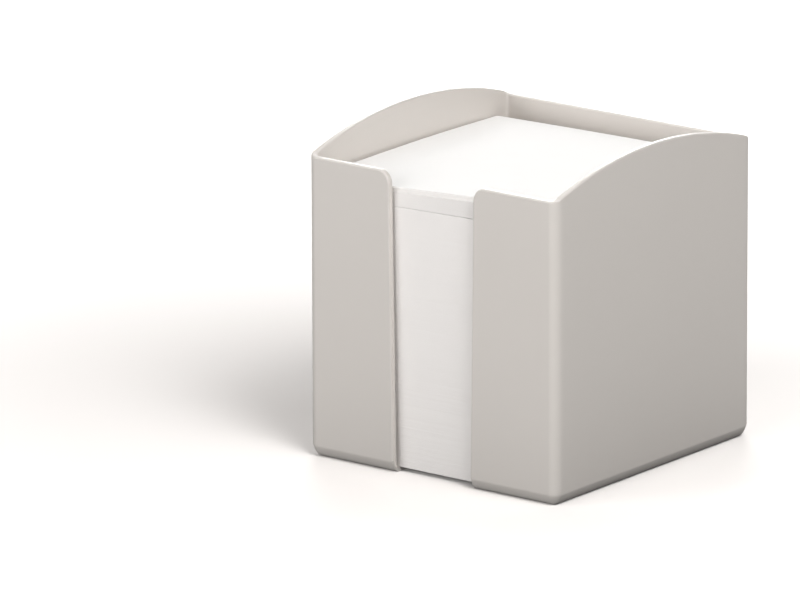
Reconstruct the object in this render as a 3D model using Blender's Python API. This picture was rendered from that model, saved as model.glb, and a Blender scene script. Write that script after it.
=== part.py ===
"""An open-topped desk note box, moulded in one piece, holding a stack of loose square note sheets.

The front (-Y) has a tall slot whose foot runs on into the floor as a finger notch, and the upper
edges of both side walls rise in a low arch. Lengths are in metres, +Z is up, and the origin is at
the middle of the box's footprint, on the surface that it stands on.
"""

import math

import bmesh
import bpy
from mathutils import Matrix, Vector

# The note sheets, gathered into bundles with a little air under each
SHEET_SIDE = 0.0900
FILLING_HEIGHT = 0.08980
REST_GAP = 0.0003
SHEETS_PER_BUNDLE = 50
LOWER_BUNDLES = 15
UPPER_SHEETS = 42
LOOSE_SHEETS = 8
TOP_SHEETS = 1
GROUPS_ABOVE = 3

SHEET_COUNT = LOWER_BUNDLES * SHEETS_PER_BUNDLE + UPPER_SHEETS + LOOSE_SHEETS + TOP_SHEETS
AIR_IN_FILLING = (LOWER_BUNDLES + GROUPS_ABOVE) * REST_GAP
SHEET_THICKNESS = (FILLING_HEIGHT - AIR_IN_FILLING) / SHEET_COUNT

# The moulded box, which is made to fit the sheets
WALL = 0.0021
FLOOR_THICKNESS = 0.0014
SIDE_PLAY = 0.0018
DEPTH_PLAY = 0.0070
RIM_ABOVE_SHEETS = 0.0050
ARCH_RISE = 0.0084
CORNER_RADIUS = 0.0032
EDGE_ROUNDING = 0.00098

BOX_WIDTH = SHEET_SIDE + SIDE_PLAY + 2 * WALL
BOX_DEPTH = SHEET_SIDE + DEPTH_PLAY + 2 * WALL
RIM_HEIGHT = FLOOR_THICKNESS + FILLING_HEIGHT + RIM_ABOVE_SHEETS

# The under-edge that runs round the foot of the box: from a crease it curves in and under
UNDER_EDGE_HEIGHT = 0.0035
UNDER_EDGE_INSET = 0.0025
UNDER_EDGE_BEND_INSET = 0.0015
UNDER_EDGE_BEND_HEIGHT = 0.0004

# The slot in the front wall and the finger notch in the floor
SLOT_WIDTH_AT_FOOT = 0.0299
SLOT_WIDTH_AT_TOP = 0.0323
SLOT_CORNER_RADIUS = 0.0043
NOTCH_DEPTH = 0.0125
NOTCH_STRAIGHT = 0.0010

# How the sheets lie in the box: the stack leans a little to the front, the loose ones are askew
LEFT_GAP = 0.0010
FRONT_GAP_AT_FOOT = 0.0015
FRONT_GAP_AT_RIM = 0.0006
LOOSE_SETBACK = 0.0003
TOP_SETBACK = 0.0005
LOOSE_TWIST = math.radians(0.35)

# How finely the curves are drawn
CORNER_STEPS = 6
ARCH_STEPS = 28
UNDER_EDGE_STEPS = 5
SLOT_CORNER_STEPS = 8
NOTCH_STEPS = 24
ROUNDING_STEPS = 3
CUT_OVERRUN = 0.0020

ROUND_PROFILE_SHARE = 0.5
SHARP_EDGE = math.radians(60)
SMOOTH_LIMIT = math.radians(35)


def clear_scene():
    for thing in list(bpy.data.objects):
        bpy.data.objects.remove(thing, do_unlink=True)


def linear(channel):
    """The linear value of one sRGB channel."""
    return channel / 12.92 if channel <= 0.04045 else ((channel + 0.055) / 1.055) ** 2.4


def material(name, hex_colour, roughness):
    """A dielectric material with a plain colour, given as sRGB hex."""
    made = bpy.data.materials.new(name)
    made.use_nodes = True
    shader = made.node_tree.nodes["Principled BSDF"]
    channels = [int(hex_colour[start : start + 2], 16) / 255 for start in (0, 2, 4)]
    colour = (*[linear(channel) for channel in channels], 1.0)
    shader.inputs["Base Color"].default_value = colour
    shader.inputs["Roughness"].default_value = roughness
    shader.inputs["Metallic"].default_value = 0.0
    made.diffuse_color = colour
    return made


def new_object(name, bm, finish):
    """Turn a bmesh into a named object with one material."""
    mesh = bpy.data.meshes.new(name)
    bm.to_mesh(mesh)
    bm.free()
    made = bpy.data.objects.new(name, mesh)
    bpy.context.scene.collection.objects.link(made)
    if finish:
        mesh.materials.append(finish)
    return made


def empty_at(name, place, parent=None):
    """An empty that carries one moving group; it stands on the axis that the group lifts along."""
    made = bpy.data.objects.new(name, None)
    bpy.context.scene.collection.objects.link(made)
    made.parent = parent
    made.location = place
    return made


def arch_height(y):
    """How far the upper edge stands above the rim's height at depth y."""
    half_depth = BOX_DEPTH / 2
    radius = (half_depth**2 + ARCH_RISE**2) / (2 * ARCH_RISE)
    return math.sqrt(max(radius**2 - y**2, 0.0)) - (radius - ARCH_RISE)


def outline(inset):
    """Points of the rounded rectangle that lies inset from the box's outer face, anticlockwise."""
    corner_radius = CORNER_RADIUS - inset
    half_x = BOX_WIDTH / 2 - inset
    half_y = BOX_DEPTH / 2 - inset
    middles = [(half_x, half_y, 0), (-half_x, half_y, 90), (-half_x, -half_y, 180), (half_x, -half_y, 270)]
    points = []
    for corner, (x, y, start) in enumerate(middles):
        centre = Vector((x - math.copysign(corner_radius, x), y - math.copysign(corner_radius, y)))
        for step in range(CORNER_STEPS + 1):
            angle = math.radians(start + 90 * step / CORNER_STEPS)
            points.append(centre + corner_radius * Vector((math.cos(angle), math.sin(angle))))
        along_side = corner in (1, 3)
        if along_side:
            first = points[-1]
            last = Vector((first.x, -first.y))
            for step in range(1, ARCH_STEPS):
                points.append(first.lerp(last, step / ARCH_STEPS))
    return points


def ring(bm, inset, height):
    """One closed ring of vertices; height is a length, or a list with one length for each point."""
    points = outline(inset)
    heights = height if isinstance(height, list) else [height] * len(points)
    return [bm.verts.new((point.x, point.y, z)) for point, z in zip(points, heights)]


def skin(bm, lower, upper):
    """Join two rings with a band of four-sided faces."""
    for here in range(len(lower)):
        after = (here + 1) % len(lower)
        bm.faces.new((lower[here], lower[after], upper[after], upper[here]))


def under_edge_profile():
    """(inset, height) pairs on the curve from the foot, past the bend, up to the outer face."""
    foot = Vector((UNDER_EDGE_INSET, 0.0))
    bend = Vector((UNDER_EDGE_BEND_INSET, UNDER_EDGE_BEND_HEIGHT))
    crease = Vector((0.0, UNDER_EDGE_HEIGHT))
    profile = []
    for step in range(UNDER_EDGE_STEPS + 1):
        share = step / UNDER_EDGE_STEPS
        profile.append(foot.lerp(bend, share).lerp(bend.lerp(crease, share), share))
    return profile


def uncut_box(finish):
    """The box before its slot is cut: floor, four walls and the arched rim, as one skin."""
    bm = bmesh.new()
    rim = [RIM_HEIGHT + arch_height(point.y) for point in outline(0.0)]
    rings = [ring(bm, inset, height) for inset, height in under_edge_profile()]
    rings.append(ring(bm, 0.0, rim))
    rings.append(ring(bm, WALL, rim))
    rings.append(ring(bm, WALL, FLOOR_THICKNESS))
    for lower, upper in zip(rings, rings[1:]):
        skin(bm, lower, upper)
    bm.faces.new(reversed(rings[0]))
    bm.faces.new(rings[-1])
    bmesh.ops.recalc_face_normals(bm, faces=bm.faces)
    return new_object("note_box", bm, finish)


def prism(name, points, run):
    """A closed cutter: a flat outline of 3-D points, extruded along the vector run."""
    bm = bmesh.new()
    face = bm.faces.new([bm.verts.new(point) for point in points])
    grown = bmesh.ops.extrude_face_region(bm, geom=[face])["geom"]
    moved = [item for item in grown if isinstance(item, bmesh.types.BMVert)]
    bmesh.ops.translate(bm, verts=moved, vec=run)
    bmesh.ops.recalc_face_normals(bm, faces=bm.faces)
    made = new_object(name, bm, None)
    made.hide_render = True
    made.display_type = "WIRE"
    return made


def slot_cutter():
    """The slot's opening: upright at the foot, then slightly wider upwards, its top corners flared."""
    foot = SLOT_WIDTH_AT_FOOT / 2
    top = SLOT_WIDTH_AT_TOP / 2
    flare_base = RIM_HEIGHT - SLOT_CORNER_RADIUS
    half = [(foot, -CUT_OVERRUN), (foot, UNDER_EDGE_HEIGHT)]
    for step in range(SLOT_CORNER_STEPS + 1):
        angle = math.radians(180 - 90 * step / SLOT_CORNER_STEPS)
        x = top + SLOT_CORNER_RADIUS * (1 + math.cos(angle))
        half.append((x, flare_base + SLOT_CORNER_RADIUS * math.sin(angle)))
    half.append((top + SLOT_CORNER_RADIUS, RIM_HEIGHT + CUT_OVERRUN))
    outside = -BOX_DEPTH / 2 - CUT_OVERRUN
    right = [(x, outside, z) for x, z in half]
    left = [(-x, outside, z) for x, z in reversed(half)]
    return prism("slot_cutter", right + left, Vector((0, CUT_OVERRUN + WALL + NOTCH_STRAIGHT, 0)))


def notch_cutter():
    """The finger notch: straight through the front wall's foot, then half an ellipse in the floor."""
    half_width = SLOT_WIDTH_AT_FOOT / 2
    start = -BOX_DEPTH / 2 + WALL + NOTCH_STRAIGHT
    reach = NOTCH_DEPTH - NOTCH_STRAIGHT
    outside = -BOX_DEPTH / 2 - CUT_OVERRUN
    points = [(-half_width, outside, -CUT_OVERRUN), (half_width, outside, -CUT_OVERRUN)]
    for step in range(NOTCH_STEPS + 1):
        angle = math.pi * step / NOTCH_STEPS
        x = half_width * math.cos(angle)
        points.append((x, start + reach * math.sin(angle), -CUT_OVERRUN))
    return prism("notch_cutter", points, Vector((0, 0, FLOOR_THICKNESS + 2 * CUT_OVERRUN)))


def cut(target, cutters):
    """Take the cutters out of the target and keep the result as its mesh."""
    for cutter in cutters:
        boolean = target.modifiers.new(cutter.name, "BOOLEAN")
        boolean.operation = "DIFFERENCE"
        boolean.solver = "EXACT"
        boolean.object = cutter
    graph = bpy.context.evaluated_depsgraph_get()
    target.data = bpy.data.meshes.new_from_object(target.evaluated_get(graph))
    target.modifiers.clear()


def free_edge(edge):
    """Whether an edge belongs to the rim or to a side of the slot, which the mould leaves rounded."""
    if not edge.is_manifold or not edge.is_convex or edge.calc_face_angle() < SHARP_EDGE:
        return False
    low = max(vert.co.z for vert in edge.verts) <= FLOOR_THICKNESS + REST_GAP
    level = abs(edge.verts[0].co.z - edge.verts[1].co.z) < REST_GAP
    return not (low and level)


def round_free_edges(box):
    """Round the inner and outer edges of the rim and the slot, so that they meet in a half round."""
    bm = bmesh.new()
    bm.from_mesh(box.data)
    bm.normal_update()
    chosen = [edge for edge in bm.edges if free_edge(edge)]
    bmesh.ops.bevel(
        bm,
        geom=chosen,
        offset=EDGE_ROUNDING,
        offset_type="OFFSET",
        segments=ROUNDING_STEPS,
        profile=ROUND_PROFILE_SHARE,
        affect="EDGES",
        clamp_overlap=False,
    )
    bmesh.ops.recalc_face_normals(bm, faces=bm.faces)
    bm.to_mesh(box.data)
    bm.free()
    box.data.shade_smooth()
    box.data.set_sharp_from_angle(angle=SMOOTH_LIMIT)


def note_box(finish):
    box = uncut_box(finish)
    cut(box, [slot_cutter(), notch_cutter()])
    round_free_edges(box)
    return box


def resting_place(height):
    """The middle of the sheets at one height of the leaning stack."""
    share = height / RIM_HEIGHT
    front_gap = FRONT_GAP_AT_FOOT + share * (FRONT_GAP_AT_RIM - FRONT_GAP_AT_FOOT)
    x = -BOX_WIDTH / 2 + WALL + LEFT_GAP + SHEET_SIDE / 2
    y = -BOX_DEPTH / 2 + WALL + front_gap + SHEET_SIDE / 2
    return Vector((x, y, height))


def bundle(name, finish, carrier, sheets, bottom, setback, twist):
    """A square bundle of sheets, its underside at the height bottom, its front pushed back a little."""
    bm = bmesh.new()
    size = Matrix.Diagonal((SHEET_SIDE, SHEET_SIDE, sheets * SHEET_THICKNESS, 1.0))
    bmesh.ops.create_cube(bm, size=1.0, matrix=size)
    made = new_object(name, bm, finish)
    made.parent = carrier
    middle = resting_place(bottom) + Vector((0, setback, sheets * SHEET_THICKNESS / 2))
    made.location = middle - carrier.matrix_world.translation
    made.rotation_euler.z = twist
    return made


def sheet_stack(finish):
    """All the sheets, from the floor of the box up, in four groups that lift off one another."""
    height = FLOOR_THICKNESS + REST_GAP
    lower = empty_at("lower_stack_lift", resting_place(height))
    bpy.context.view_layer.update()
    for index in range(LOWER_BUNDLES):
        first = index * SHEETS_PER_BUNDLE + 1
        name = f"sheets_{first:03d}_to_{first + SHEETS_PER_BUNDLE - 1:03d}"
        bundle(name, finish, lower, SHEETS_PER_BUNDLE, height, 0.0, 0.0)
        height += SHEETS_PER_BUNDLE * SHEET_THICKNESS + REST_GAP

    groups = [
        ("upper_pad", UPPER_SHEETS, 0.0, 0.0),
        ("loose_sheets", LOOSE_SHEETS, LOOSE_SETBACK, LOOSE_TWIST),
        ("top_sheet", TOP_SHEETS, TOP_SETBACK, LOOSE_TWIST),
    ]
    carrier = lower
    for name, sheets, setback, twist in groups:
        below = carrier.matrix_world.translation
        carrier = empty_at(f"{name}_lift", resting_place(height) - below, carrier)
        bpy.context.view_layer.update()
        bundle(name, finish, carrier, sheets, height, setback, twist)
        height += sheets * SHEET_THICKNESS + REST_GAP


def main():
    clear_scene()
    plastic = material("light_grey_moulded_plastic", "DAD4CC", 0.45)
    paper = material("white_note_paper", "F6F5F1", 0.9)
    note_box(plastic)
    sheet_stack(paper)


main()
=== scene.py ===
import math

import bmesh
import bpy
import numpy as np
from mathutils import Matrix, Vector


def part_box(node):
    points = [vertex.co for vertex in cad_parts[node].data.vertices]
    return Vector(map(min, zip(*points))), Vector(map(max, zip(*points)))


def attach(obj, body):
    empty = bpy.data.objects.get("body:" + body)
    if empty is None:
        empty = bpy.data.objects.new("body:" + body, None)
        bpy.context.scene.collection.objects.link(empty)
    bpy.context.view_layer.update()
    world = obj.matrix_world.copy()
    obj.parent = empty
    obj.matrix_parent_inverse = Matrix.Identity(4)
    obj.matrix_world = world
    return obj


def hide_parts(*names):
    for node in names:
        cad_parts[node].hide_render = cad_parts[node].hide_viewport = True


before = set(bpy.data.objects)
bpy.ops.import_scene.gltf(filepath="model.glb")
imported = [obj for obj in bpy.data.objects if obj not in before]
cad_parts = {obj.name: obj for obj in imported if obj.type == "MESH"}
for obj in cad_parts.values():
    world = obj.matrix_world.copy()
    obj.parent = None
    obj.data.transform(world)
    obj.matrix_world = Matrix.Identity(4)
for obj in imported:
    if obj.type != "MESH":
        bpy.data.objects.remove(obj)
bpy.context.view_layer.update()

# The box's sizes, in metres, as the solid has them
box_low, box_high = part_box("note_box")
WIDTH = box_high.x - box_low.x
DEPTH = box_high.y - box_low.y
PEAK_HEIGHT = box_high.z
ARCH_RISE = 0.0084
RIM_HEIGHT = PEAK_HEIGHT - ARCH_RISE
WALL = 0.0021
FLOOR_THICKNESS = 0.0014
CORNER_RADIUS = 0.0032
SLOT_HALF_FOOT = 0.01495
SLOT_HALF_TOP = 0.01615
SLOT_CORNER_RADIUS = 0.0043
NOTCH_DEPTH = 0.0125
NOTCH_STRAIGHT = 0.0010
CUT_OVERRUN = 0.0020

# Two details that differ from the solid, which has a rounding of 1 mm and an under-edge 3.5 mm
# high, because they fit the photograph better. The bend is the (inset, height) of the point towards
# which the under-edge curves.
EDGE_ROUNDING = 0.0006
UNDER_EDGE_HEIGHT = 0.0039
UNDER_EDGE_INSET = 0.0028
UNDER_EDGE_BEND = (0.0010, 0.0001)

# The sheets. Each is a little thinner than the height that it takes up, which leaves air between
# them. They lean forwards, so the gap to the front wall shrinks towards the rim.
SHEET_SIDE = 0.0900
SHEETS_PER_BUNDLE = 50
LOWER_BUNDLES = 15
UPPER_SHEETS = 42
LOOSE_SHEETS = 8
THICKNESS_SHARE = 0.99
REST_GAP = 0.0003
FRONT_GAP_AT_FOOT = 0.0015
FRONT_GAP_AT_RIM = 0.0006
LEAN = (FRONT_GAP_AT_FOOT - FRONT_GAP_AT_RIM) / RIM_HEIGHT

# How much each sheet lies out of place at random, in metres and radians, and how far the loose ones
# are turned, in radians
SHEET_DRIFT = 0.00002
SHEET_TURN = 0.0003
LOOSE_TWIST = 0.0061

# The curl at the slot, in metres: how far the front edge rises at its middle, how much more it does
# so at the slot's right side, and how far the left back corner dips. The curl ends that far behind
# the middle and fades over that length, as shares of a sheet's side. Across the slot it changes
# evenly between two limits, counted in half widths of the slot.
CURL_AT_PARTING = (-0.00010, 0.000375, 0.0)
CURL_AT_TOP = (0.00025, 0.00080, 0.0008)
CURL_ENDS_SHARE = 0.2
CURL_LENGTH_SHARE = 0.7
CURL_SIDE_LIMITS = (-1.3, 1.7)

# How much of the gap below each upper group stays air. The bundles' sheets fill the gaps below
# them.
AIR_SHARES = {"upper_pad": 0.45, "loose_sheets": 0.2, "top_sheet": 0.1}

# How many times a sheet is cut lengthwise, and as often crosswise, so that it can bend
CUTS_LOWER = 3
CUTS_UPPER = 11

# How finely the box is drawn, which edges are rounded, and which are shaded smooth
CORNER_STEPS = 12
ARCH_STEPS = 72
UNDER_EDGE_STEPS = 8
SLOT_CORNER_STEPS = 20
NOTCH_SIDES = 160
ROUNDING_STEPS = 6
ROUND_PROFILE = 0.5
SHARP_ANGLE = math.radians(60)
SMOOTH_ANGLE = math.radians(30)
LARGE_FACES_LEAD = 100

# Which heights count as the same, exactly or nearly, how far a place is rounded before two are
# compared, along y and in plan, and how upright a normal is on a level face
TINY = 1e-5
NEARLY = 0.0003
ROW_DIGITS = 6
PLAN_DIGITS = 5
UPRIGHT = 0.9

# The camera, fitted to the box's edges in the photograph
IMAGE_WIDTH = 800
IMAGE_HEIGHT = 600
SENSOR_WIDTH = 0.036
CAMERA_AZIMUTH = math.radians(37.04)
CAMERA_ELEVATION = math.radians(15.29)
CAMERA_DISTANCE = 3.274
FOCAL_PIXELS = 10551.0
AIM_PIXEL = (530.4, 296.6)
AIM_HEIGHT = 0.0480
VIEW_REACH = 50
MM_PER_METRE = 1000

# The softboxes: azimuth to the right of the front and elevation in degrees, distance and width in
# metres, power in watts. The rim light stands behind the box and shines along its upper edges.
LAMPS = {
    "high_side_softbox": (66, 55, 1.3, 0.8, 5.2),
    "side_softbox": (61, 47, 1.4, 0.5, 4.0),
    "far_high_softbox": (80, 55, 1.2, 1.0, 2.8),
    "far_side_softbox": (78, 42, 1.2, 1.0, 2.5),
    "low_side_softbox": (78, 13, 1.4, 0.6, 0.6),
    "front_softbox": (0, 13, 1.4, 0.6, 5.3),
    "left_softbox": (-30, 25, 1.3, 0.6, 4.5),
    "rim_softbox": (217, 22, 1.3, 0.6, 6.0),
    "top_softbox": (222, 60, 1.3, 0.4, 2.2),
}

# The floor's side, and how much it glows for the camera alone, in the box's shadow and far from it,
# so that it shows white where no shadow lies
FLOOR_SIDE = 12
GLOW_NEAR = 0.012
GLOW_FAR = 0.38
GLOW_STARTS = 0.08
GLOW_FULL = 0.28
SHADOW_MIDDLE = (-0.07, 0.0, 0.0)

# The share of the light that the floor throws back on the object: little from close to its foot, a
# painted shade that stands in for the shade around the foot
BOUNCE_NEAR = 0.21
BOUNCE_FAR = 0.50
BOUNCE_STARTS = 0.05
BOUNCE_FULL = 0.17

# The sizes at which the patterns of the finishes are drawn, in metres
PLASTIC_GRAIN = 0.0004
PLASTIC_CLOUD = 0.045
PAPER_FIBRE = 0.00055
PAPER_CLOUD = 0.011


# Small tools

def deselect():
    bpy.ops.object.select_all(action="DESELECT")


def pick(piece, kind, wanted):
    """In edit mode, select only the vertices, edges or faces for which wanted is true."""
    bpy.ops.mesh.select_mode(type=kind)
    bpy.ops.mesh.select_all(action="DESELECT")
    mesh = bmesh.from_edit_mesh(piece.data)
    mesh.normal_update()
    items = {"VERT": mesh.verts, "EDGE": mesh.edges, "FACE": mesh.faces}[kind]
    for item in items:
        item.select_set(bool(wanted(item)))
    mesh.select_flush_mode()
    bmesh.update_edit_mesh(piece.data)


def start_plane(name, size, place, turn=(0, 0, 0)):
    """A flat rectangle of that size at that place, ready to be shaped in edit mode."""
    deselect()
    bpy.ops.mesh.primitive_plane_add(size=1, location=place, rotation=turn)
    piece = bpy.context.object
    piece.name = piece.data.name = name
    piece.scale = (size[0], size[1], 1)
    bpy.ops.object.transform_apply(location=True, rotation=True, scale=True)
    bpy.ops.object.mode_set(mode="EDIT")
    return piece


def apply_cut(piece, cutter):
    """Take the cutter out of the piece and delete it."""
    deselect()
    bpy.context.view_layer.objects.active = piece
    cut = piece.modifiers.new("cut", "BOOLEAN")
    cut.operation = "DIFFERENCE"
    cut.solver = "EXACT"
    cut.object = cutter
    bpy.ops.object.modifier_apply(modifier=cut.name)
    bpy.data.objects.remove(cutter, do_unlink=True)


# The moulded box

def arch_height(y):
    """How far the upper edge stands above the rim's height at depth y."""
    radius = ((DEPTH / 2) ** 2 + ARCH_RISE**2) / (2 * ARCH_RISE)
    return math.sqrt(max(radius**2 - y**2, 0.0)) - (radius - ARCH_RISE)


def rim_station(place):
    """The depth at which the outer face has the rim height of this point of the rim."""
    corner_x = WIDTH / 2 - CORNER_RADIUS
    corner_y = DEPTH / 2 - CORNER_RADIUS
    if abs(place.y) <= corner_y:
        return abs(place.y)
    if abs(place.x) <= corner_x:
        return DEPTH / 2
    angle = math.atan2(abs(place.y) - corner_y, abs(place.x) - corner_x)
    return corner_y + CORNER_RADIUS * math.sin(angle)


def raised_walls():
    """The outer form: a rounded plan drawn up to the rim, with a curved under-edge below it."""
    box = start_plane("moulded_box", (WIDTH, DEPTH), (0, 0, UNDER_EDGE_HEIGHT))
    bpy.ops.mesh.select_all(action="SELECT")
    bpy.ops.mesh.bevel(
        offset=CORNER_RADIUS, segments=CORNER_STEPS, profile=ROUND_PROFILE, affect="VERTICES"
    )
    pick(box, "EDGE", lambda edge: all(abs(vert.co.x) > WIDTH / 2 - TINY for vert in edge.verts))
    bpy.ops.mesh.subdivide(number_cuts=ARCH_STEPS - 1)
    bpy.ops.mesh.select_mode(type="FACE")
    bpy.ops.mesh.select_all(action="SELECT")
    rise = {"value": (0, 0, RIM_HEIGHT - UNDER_EDGE_HEIGHT)}
    bpy.ops.mesh.extrude_region_move(TRANSFORM_OT_translate=rise)
    bpy.ops.mesh.select_all(action="SELECT")
    bpy.ops.mesh.normals_make_consistent(inside=False)
    return box


def under_edge_steps():
    """(inset, drop) of each step from the crease in the outer face down to the foot, curving in."""
    crease = Vector((0.0, UNDER_EDGE_HEIGHT))
    bend = Vector(UNDER_EDGE_BEND)
    foot = Vector((UNDER_EDGE_INSET, 0.0))
    points = []
    for step in range(UNDER_EDGE_STEPS + 1):
        share = step / UNDER_EDGE_STEPS
        points.append(crease.lerp(bend, share).lerp(bend.lerp(foot, share), share))
    return [(after.x - here.x, here.y - after.y) for here, after in zip(points, points[1:])]


def curve_under_edge(box):
    pick(box, "FACE", lambda face: face.normal.z < -UPRIGHT)
    for inset, drop in under_edge_steps():
        bpy.ops.mesh.inset(thickness=inset, depth=drop, use_even_offset=True)


def hollow_out(box):
    """The cavity: the top face drawn in by the wall and pushed down to the floor."""
    pick(box, "FACE", lambda face: face.normal.z > UPRIGHT)
    bpy.ops.mesh.inset(thickness=WALL, depth=0, use_even_offset=True)
    drop = {"value": (0, 0, FLOOR_THICKNESS - RIM_HEIGHT)}
    bpy.ops.mesh.extrude_region_move(TRANSFORM_OT_translate=drop)


def plan_place(place):
    """A place seen from above, rounded so that two such places can be compared."""
    return round(place.x, PLAN_DIGITS), round(place.y, PLAN_DIGITS)


def raise_arches(box):
    """Lift the rim row by row, so that both side walls rise in a low arch."""
    rows = {}
    for vert in bmesh.from_edit_mesh(box.data).verts:
        if vert.co.z > RIM_HEIGHT - TINY:
            rise = round(arch_height(rim_station(vert.co)), ROW_DIGITS)
            rows.setdefault(rise, []).append(vert.co.copy())
    for rise, places in rows.items():
        if rise < TINY:
            continue
        depths = {round(place.y, ROW_DIGITS) for place in places}
        plan = {plan_place(place) for place in places}
        pick(
            box,
            "VERT",
            lambda vert: vert.co.z > RIM_HEIGHT - TINY
            and round(vert.co.y, ROW_DIGITS) in depths
            and plan_place(vert.co) in plan,
        )
        bpy.ops.transform.translate(value=(0, 0, rise))


def slot_cutter():
    """A T-shaped outline whose two inner corners are rounded, drawn back through the front wall."""
    half_at_rim = SLOT_HALF_TOP + SLOT_CORNER_RADIUS * (SLOT_HALF_TOP - SLOT_HALF_FOOT) / RIM_HEIGHT
    outside = -DEPTH / 2 - CUT_OVERRUN
    bar = (2 * (half_at_rim + SLOT_CORNER_RADIUS), CUT_OVERRUN)
    place = (0, outside, RIM_HEIGHT + CUT_OVERRUN / 2)
    cutter = start_plane("slot_cutter", bar, place, (math.pi / 2, 0, 0))
    for side in (-1, 1):
        bpy.ops.mesh.select_all(action="SELECT")
        bpy.ops.mesh.bisect(plane_co=(side * half_at_rim, 0, 0), plane_no=(1, 0, 0))
    for height in (UNDER_EDGE_HEIGHT, -CUT_OVERRUN):
        lowest = min(vert.co.z for vert in bmesh.from_edit_mesh(cutter.data).verts)
        pick(
            cutter,
            "EDGE",
            lambda edge: all(
                vert.co.z < lowest + TINY and abs(vert.co.x) < half_at_rim + TINY
                for vert in edge.verts
            ),
        )
        now = max(vert.co.x for vert in bmesh.from_edit_mesh(cutter.data).verts if vert.select)
        bpy.ops.mesh.extrude_region_move(TRANSFORM_OT_translate={"value": (0, 0, height - lowest)})
        bpy.ops.transform.resize(value=(SLOT_HALF_FOOT / now, 1, 1))
    bpy.ops.mesh.select_mode(type="FACE")
    bpy.ops.mesh.select_all(action="SELECT")
    bpy.ops.mesh.dissolve_faces()
    pick(
        cutter,
        "VERT",
        lambda vert: abs(vert.co.z - RIM_HEIGHT) < TINY
        and abs(abs(vert.co.x) - half_at_rim) < TINY,
    )
    bpy.ops.mesh.bevel(
        offset=SLOT_CORNER_RADIUS,
        segments=SLOT_CORNER_STEPS,
        profile=ROUND_PROFILE,
        affect="VERTICES",
    )
    bpy.ops.mesh.select_mode(type="FACE")
    bpy.ops.mesh.select_all(action="SELECT")
    reach = CUT_OVERRUN + WALL + NOTCH_STRAIGHT
    bpy.ops.mesh.extrude_region_move(TRANSFORM_OT_translate={"value": (0, reach, 0)})
    bpy.ops.mesh.select_all(action="SELECT")
    bpy.ops.mesh.normals_make_consistent(inside=False)
    bpy.ops.object.mode_set(mode="OBJECT")
    return cutter


def notch_cutter():
    """Half an ellipse of the floor, behind the foot of the slot."""
    deselect()
    bpy.ops.mesh.primitive_cylinder_add(
        vertices=NOTCH_SIDES,
        radius=SLOT_HALF_FOOT,
        depth=FLOOR_THICKNESS + 2 * CUT_OVERRUN,
        location=(0, -DEPTH / 2 + WALL + NOTCH_STRAIGHT, FLOOR_THICKNESS / 2),
    )
    cutter = bpy.context.object
    cutter.scale.y = (NOTCH_DEPTH - NOTCH_STRAIGHT) / SLOT_HALF_FOOT
    bpy.ops.object.transform_apply(location=True, rotation=True, scale=True)
    return cutter


def is_free_edge(edge):
    """Whether an edge is on the rim or on a side of the slot, which the mould leaves rounded."""
    if not edge.is_manifold or not edge.is_convex or edge.calc_face_angle() < SHARP_ANGLE:
        return False
    low = max(vert.co.z for vert in edge.verts) <= FLOOR_THICKNESS + NEARLY
    level = abs(edge.verts[0].co.z - edge.verts[1].co.z) < NEARLY
    return not (low and level)


def moulded_box(finish):
    box = raised_walls()
    curve_under_edge(box)
    hollow_out(box)
    raise_arches(box)
    bpy.ops.object.mode_set(mode="OBJECT")
    apply_cut(box, slot_cutter())
    apply_cut(box, notch_cutter())
    bpy.context.view_layer.objects.active = box
    bpy.ops.object.mode_set(mode="EDIT")
    pick(box, "EDGE", is_free_edge)
    bpy.ops.mesh.bevel(
        offset=EDGE_ROUNDING,
        segments=ROUNDING_STEPS,
        profile=ROUND_PROFILE,
        affect="EDGES",
        clamp_overlap=False,
    )
    bpy.ops.object.mode_set(mode="OBJECT")
    box.select_set(True)
    bpy.ops.object.shade_smooth_by_angle(angle=SMOOTH_ANGLE)
    weighted = box.modifiers.new("even_shading", "WEIGHTED_NORMAL")
    weighted.keep_sharp = True
    weighted.weight = LARGE_FACES_LEAD
    bpy.ops.object.modifier_apply(modifier=weighted.name)
    box.data.materials.append(finish)
    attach(box, "box")
    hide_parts("note_box")


# The sheets

def one_sheet(name, side, thickness, cuts):
    """A single sheet lying at the origin, cut into squares so that it can bend."""
    deselect()
    bpy.ops.mesh.primitive_cube_add(size=1, location=(0, 0, thickness / 2))
    sheet = bpy.context.object
    sheet.name = sheet.data.name = name
    sheet.scale = (side, side, thickness)
    bpy.ops.object.transform_apply(location=True, rotation=True, scale=True)
    bpy.ops.object.mode_set(mode="EDIT")
    for cut in range(1, cuts + 1):
        place = side * (cut / (cuts + 1) - 0.5)
        for along in ((1, 0, 0), (0, 1, 0)):
            bpy.ops.mesh.select_all(action="SELECT")
            bpy.ops.mesh.bisect(plane_co=[place * axis for axis in along], plane_no=along)
    bpy.ops.object.mode_set(mode="OBJECT")
    return sheet


def curl(x_share, y_share, share, below, above):
    """How far the sheets rise, at that share of the way from the curl below to the curl above."""
    front = np.clip((CURL_ENDS_SHARE - y_share) / CURL_LENGTH_SHARE, 0, 1)
    front = front * front * (3 - 2 * front)
    side = np.clip(x_share * SHEET_SIDE / SLOT_HALF_TOP, *CURL_SIDE_LIMITS)
    average, to_right, dip = [low + (high - low) * share for low, high in zip(below, above)]
    at_corner = np.clip(y_share - x_share, 0, 1) ** 2
    return front * (average + to_right * side) - dip * at_corner


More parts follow.
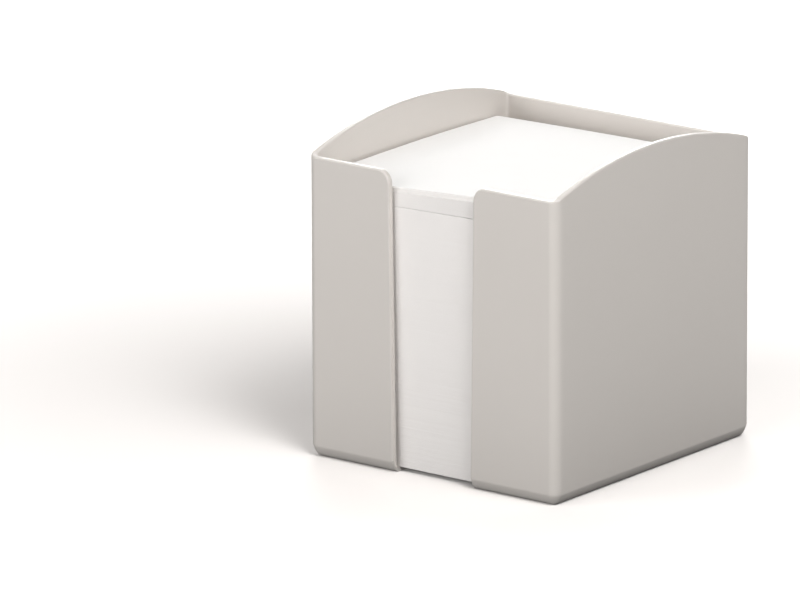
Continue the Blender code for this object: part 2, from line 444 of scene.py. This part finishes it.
def settle(pile, count, centre, pitch, twist, seed, below, above):
    """Move each sheet of a leaning pile a little, as loose sheets lie, and curl them."""
    mesh = pile.data
    places = np.empty(len(mesh.vertices) * 3, np.float32)
    mesh.vertices.foreach_get("co", places)
    places = places.reshape(count, -1, 3)
    chance = np.random.default_rng(seed)
    steps = np.arange(count)
    shift_x = SHEET_DRIFT * chance.standard_normal(count)
    shift_y = SHEET_DRIFT * chance.standard_normal(count) - LEAN * pitch * steps
    turn = twist + SHEET_TURN * chance.standard_normal(count)
    x = places[:, :, 0] * np.cos(turn)[:, None] - places[:, :, 1] * np.sin(turn)[:, None]
    y = places[:, :, 0] * np.sin(turn)[:, None] + places[:, :, 1] * np.cos(turn)[:, None]
    places[:, :, 0] = x + centre.x + shift_x[:, None]
    places[:, :, 1] = y + centre.y + shift_y[:, None]
    share = (steps + 1) / count
    places[:, :, 2] += curl(x / SHEET_SIDE, y / SHEET_SIDE, share[:, None], below, above)
    mesh.vertices.foreach_set("co", places.reshape(-1))
    mesh.update()


def pile_of_sheets(node, body, count, finish, cuts, below, above, seed, twist=0):
    """A pile of separate sheets in place of one solid of the frame, with some air left below it."""
    corner_low, corner_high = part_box(node)
    low = corner_low.z - (1 - AIR_SHARES.get(node, 0.0)) * REST_GAP
    pitch = (corner_high.z - low) / count
    pile = one_sheet(f"{node}_pile", SHEET_SIDE, pitch * THICKNESS_SHARE, cuts)
    if count > 1:
        repeat = pile.modifiers.new("repeat", "ARRAY")
        repeat.count = count
        repeat.use_relative_offset = False
        repeat.use_constant_offset = True
        repeat.constant_offset_displace = (0, 0, pitch)
        bpy.ops.object.modifier_apply(modifier=repeat.name)
    bpy.ops.transform.translate(value=(0, 0, low))
    bpy.ops.object.transform_apply(location=True, rotation=True, scale=True)
    settle(pile, count, (corner_low + corner_high) / 2, pitch, twist, seed, below, above)
    pile.data.materials.append(finish)
    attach(pile, body)
    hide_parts(node)


def sheet_stack(finish):
    parting = np.array(CURL_AT_PARTING)
    for index in range(LOWER_BUNDLES):
        first = index * SHEETS_PER_BUNDLE + 1
        node = f"sheets_{first:03d}_to_{first + SHEETS_PER_BUNDLE - 1:03d}"
        below = parting * index / LOWER_BUNDLES
        above = parting * (index + 1) / LOWER_BUNDLES
        pile_of_sheets(
            node, "lower_stack", SHEETS_PER_BUNDLE, finish, CUTS_LOWER, below, above, seed=index
        )
    groups = [
        ("upper_pad", UPPER_SHEETS, CURL_AT_PARTING, 0),
        ("loose_sheets", LOOSE_SHEETS, CURL_AT_TOP, LOOSE_TWIST),
        ("top_sheet", 1, CURL_AT_TOP, LOOSE_TWIST),
    ]
    for seed, (node, count, below, twist) in enumerate(groups, LOWER_BUNDLES):
        pile_of_sheets(node, node, count, finish, CUTS_UPPER, below, CURL_AT_TOP, seed, twist)


# Finishes

def linear(channel):
    """The linear value of one sRGB channel."""
    return channel / 12.92 if channel <= 0.04045 else ((channel + 0.055) / 1.055) ** 2.4


def colour(hex_value):
    """A linear colour from an sRGB hex value."""
    channels = [int(hex_value[start : start + 2], 16) / 255 for start in (0, 2, 4)]
    return (*[linear(channel) for channel in channels], 1.0)


def new_material(name):
    made = bpy.data.materials.new(name)
    made.use_nodes = True
    return made, made.node_tree, made.node_tree.nodes["Principled BSDF"]


def add_node(tree, kind, settings=(), inputs=(), links=()):
    """Add a node, set its properties and input values, and link its inputs from other sockets."""
    node = tree.nodes.new(kind)
    for name, value in dict(settings).items():
        setattr(node, name, value)
    for name, value in dict(inputs).items():
        node.inputs[name].default_value = value
    for name, socket in dict(links).items():
        tree.links.new(socket, node.inputs[name])
    return node


def moulded_plastic():
    """Polystyrene, injection-moulded: an even light warm grey with a soft satin shine on its edges.

    The spark-eroded mould leaves a grain of about 0.05 mm. It is drawn at 0.4 mm, because a finer
    one doesn't show in the picture. Where the melt cooled a little slower the shine is duller, in
    clouds of about 45 mm.
    """
    made, tree, shader = new_material("moulded_polystyrene_light_grey")
    place = add_node(tree, "ShaderNodeTexCoord").outputs["Object"]
    grain = add_node(
        tree,
        "ShaderNodeTexNoise",
        inputs={"Scale": 1 / PLASTIC_GRAIN, "Detail": 3.0, "Roughness": 0.6},
        links={"Vector": place},
    )
    cloud = add_node(
        tree,
        "ShaderNodeTexNoise",
        inputs={"Scale": 1 / PLASTIC_CLOUD, "Detail": 2.0},
        links={"Vector": place},
    )
    tint = add_node(
        tree,
        "ShaderNodeMix",
        settings={"data_type": "RGBA"},
        inputs={"A": colour("D5CFC9"), "B": colour("D8D2CC")},
        links={"Factor": cloud.outputs["Fac"]},
    )
    polish = add_node(
        tree,
        "ShaderNodeMapRange",
        inputs={"To Min": 0.30, "To Max": 0.38},
        links={"Value": cloud.outputs["Fac"]},
    )
    relief = add_node(
        tree,
        "ShaderNodeBump",
        inputs={"Strength": 0.15, "Distance": 0.00002},
        links={"Height": grain.outputs["Fac"]},
    )
    tree.links.new(tint.outputs["Result"], shader.inputs["Base Color"])
    tree.links.new(polish.outputs["Result"], shader.inputs["Roughness"])
    tree.links.new(relief.outputs["Normal"], shader.inputs["Normal"])
    shader.inputs["IOR"].default_value = 1.55
    return made


def note_paper():
    """Uncoated writing paper, guillotined: matt and white, with a painted shade on its cut edges.

    Its fibres lie in clouds of about 11 mm, seen as a very faint mottling. Single fibres are 0.03
    mm thick; they are drawn at 0.55 mm, because finer ones don't show in the picture. The cut
    edges are given a darker colour than the faces, a painted shade for the light that sinks in
    between the sheets.
    """
    made, tree, shader = new_material("uncoated_writing_paper_white")
    place = add_node(tree, "ShaderNodeTexCoord").outputs["Object"]
    fibre = add_node(
        tree,
        "ShaderNodeTexNoise",
        inputs={"Scale": 1 / PAPER_FIBRE, "Detail": 4.0, "Roughness": 0.6},
        links={"Vector": place},
    )
    cloud = add_node(
        tree,
        "ShaderNodeTexNoise",
        inputs={"Scale": 1 / PAPER_CLOUD, "Detail": 3.0},
        links={"Vector": place},
    )
    face = add_node(
        tree,
        "ShaderNodeMix",
        settings={"data_type": "RGBA"},
        inputs={"A": colour("F9F7F5"), "B": colour("FBFAF8")},
        links={"Factor": cloud.outputs["Fac"]},
    )
    # Painted shade: the cut edges get a darker colour than the faces, in place of the shade between
    # the sheets
    shaded_cut_edge = add_node(
        tree,
        "ShaderNodeMix",
        settings={"data_type": "RGBA"},
        inputs={"A": colour("F2EEEB"), "B": colour("F5F1EE")},
        links={"Factor": cloud.outputs["Fac"]},
    )
    facing = add_node(tree, "ShaderNodeNewGeometry").outputs["True Normal"]
    upright = add_node(tree, "ShaderNodeSeparateXYZ", links={"Vector": facing}).outputs["Z"]
    is_face = add_node(
        tree, "ShaderNodeMath", settings={"operation": "ABSOLUTE"}, links={0: upright}
    )
    tint = add_node(
        tree,
        "ShaderNodeMix",
        settings={"data_type": "RGBA"},
        links={
            "Factor": is_face.outputs["Value"],
            "A": shaded_cut_edge.outputs["Result"],
            "B": face.outputs["Result"],
        },
    )
    relief = add_node(
        tree,
        "ShaderNodeBump",
        inputs={"Strength": 0.2, "Distance": 0.00003},
        links={"Height": fibre.outputs["Fac"]},
    )
    tree.links.new(tint.outputs["Result"], shader.inputs["Base Color"])
    tree.links.new(relief.outputs["Normal"], shader.inputs["Normal"])
    shader.inputs["Roughness"].default_value = 0.9
    shader.inputs["Specular IOR Level"].default_value = 0.25
    return made


# Studio

def studio_floor():
    """A plain white surface. What the camera sees of it is white where no shadow lies. The light it
    throws back on the box comes from a darker colour close to the foot, a painted shade.
    """
    made, tree, shader = new_material("matt_white_board")
    tree.nodes.remove(shader)
    seen = add_node(tree, "ShaderNodeBsdfDiffuse", inputs={"Color": colour("FFFBF8")})
    place = add_node(tree, "ShaderNodeTexCoord").outputs["Object"]
    from_middle = add_node(
        tree, "ShaderNodeVectorMath", settings={"operation": "LENGTH"}, links={0: place}
    )
    # Painted shade: the floor's colour for light thrown back on the box is darker close to its foot
    bounce_painted_shade = add_node(
        tree,
        "ShaderNodeMapRange",
        settings={"interpolation_type": "SMOOTHSTEP"},
        inputs={
            "From Min": BOUNCE_STARTS,
            "From Max": BOUNCE_FULL,
            "To Min": BOUNCE_NEAR,
            "To Max": BOUNCE_FAR,
        },
        links={"Value": from_middle.outputs["Value"]},
    )
    bounce = add_node(tree, "ShaderNodeBsdfDiffuse", links={"Color": bounce_painted_shade.outputs["Result"]})
    from_shadow = add_node(
        tree,
        "ShaderNodeVectorMath",
        settings={"operation": "DISTANCE"},
        inputs={1: SHADOW_MIDDLE},
        links={0: place},
    )
    strength = add_node(
        tree,
        "ShaderNodeMapRange",
        settings={"interpolation_type": "SMOOTHSTEP"},
        inputs={
            "From Min": GLOW_STARTS,
            "From Max": GLOW_FULL,
            "To Min": GLOW_NEAR,
            "To Max": GLOW_FAR,
        },
        links={"Value": from_shadow.outputs["Value"]},
    )
    glow = add_node(tree, "ShaderNodeEmission", links={"Strength": strength.outputs["Result"]})
    glowing = add_node(tree, "ShaderNodeAddShader", links={0: seen.outputs[0], 1: glow.outputs[0]})
    ray = add_node(tree, "ShaderNodeLightPath")
    mixed = add_node(tree, "ShaderNodeMixShader", links={0: ray.outputs["Is Camera Ray"]})
    tree.links.new(bounce.outputs[0], mixed.inputs[1])
    tree.links.new(glowing.outputs[0], mixed.inputs[2])
    tree.links.new(mixed.outputs[0], tree.nodes["Material Output"].inputs["Surface"])
    floor = start_plane("studio_floor", (FLOOR_SIDE, FLOOR_SIDE), (0, 0, 0))
    bpy.ops.object.mode_set(mode="OBJECT")
    floor.data.materials.append(made)


def direction(azimuth, elevation):
    """The unit vector from the object outwards, at an azimuth to the right of the front."""
    a, e = math.radians(azimuth), math.radians(elevation)
    return Vector((math.sin(a) * math.cos(e), -math.cos(a) * math.cos(e), math.sin(e)))


def soft_lamp(name, azimuth, elevation, distance, size, power):
    lamp = bpy.data.lights.new(name, "AREA")
    lamp.shape = "DISK"
    lamp.size = size
    lamp.energy = power
    made = bpy.data.objects.new(name, lamp)
    bpy.context.scene.collection.objects.link(made)
    towards = direction(azimuth, elevation)
    made.location = Vector((0, 0, AIM_HEIGHT)) + distance * towards
    made.rotation_mode = "QUATERNION"
    made.rotation_quaternion = towards.to_track_quat("Z", "Y")


def studio_light():
    for name, values in LAMPS.items():
        soft_lamp(name, *values)
    world = bpy.data.worlds.new("studio")
    bpy.context.scene.world = world
    world.use_nodes = True
    tree = world.node_tree
    backdrop = tree.nodes["Background"]
    backdrop.inputs["Color"].default_value = colour("FFFFFF")
    ray = add_node(tree, "ShaderNodeLightPath")
    tree.links.new(ray.outputs["Is Camera Ray"], backdrop.inputs["Strength"])


def photo_camera():
    lens = bpy.data.cameras.new("photo_camera")
    lens.sensor_fit = "HORIZONTAL"
    lens.sensor_width = SENSOR_WIDTH * MM_PER_METRE
    lens.lens = FOCAL_PIXELS / IMAGE_WIDTH * SENSOR_WIDTH * MM_PER_METRE
    lens.clip_end = VIEW_REACH
    made = bpy.data.objects.new("photo_camera", lens)
    bpy.context.scene.collection.objects.link(made)
    bpy.context.scene.camera = made
    back = direction(math.degrees(CAMERA_AZIMUTH), math.degrees(CAMERA_ELEVATION))
    made.location = Vector((0, 0, AIM_HEIGHT)) + CAMERA_DISTANCE * back
    yaw = math.atan((AIM_PIXEL[0] - IMAGE_WIDTH / 2) / FOCAL_PIXELS)
    pitch = math.atan((AIM_PIXEL[1] - IMAGE_HEIGHT / 2) / FOCAL_PIXELS)
    facing = back.to_track_quat("Z", "Y").to_matrix()
    made.rotation_mode = "QUATERNION"
    turned = facing @ Matrix.Rotation(yaw, 3, "Y") @ Matrix.Rotation(pitch, 3, "X")
    made.rotation_quaternion = turned.to_quaternion()


photo_camera()
moulded_box(moulded_plastic())
sheet_stack(note_paper())
studio_floor()
studio_light()
bpy.context.scene.view_settings.view_transform = "Standard"
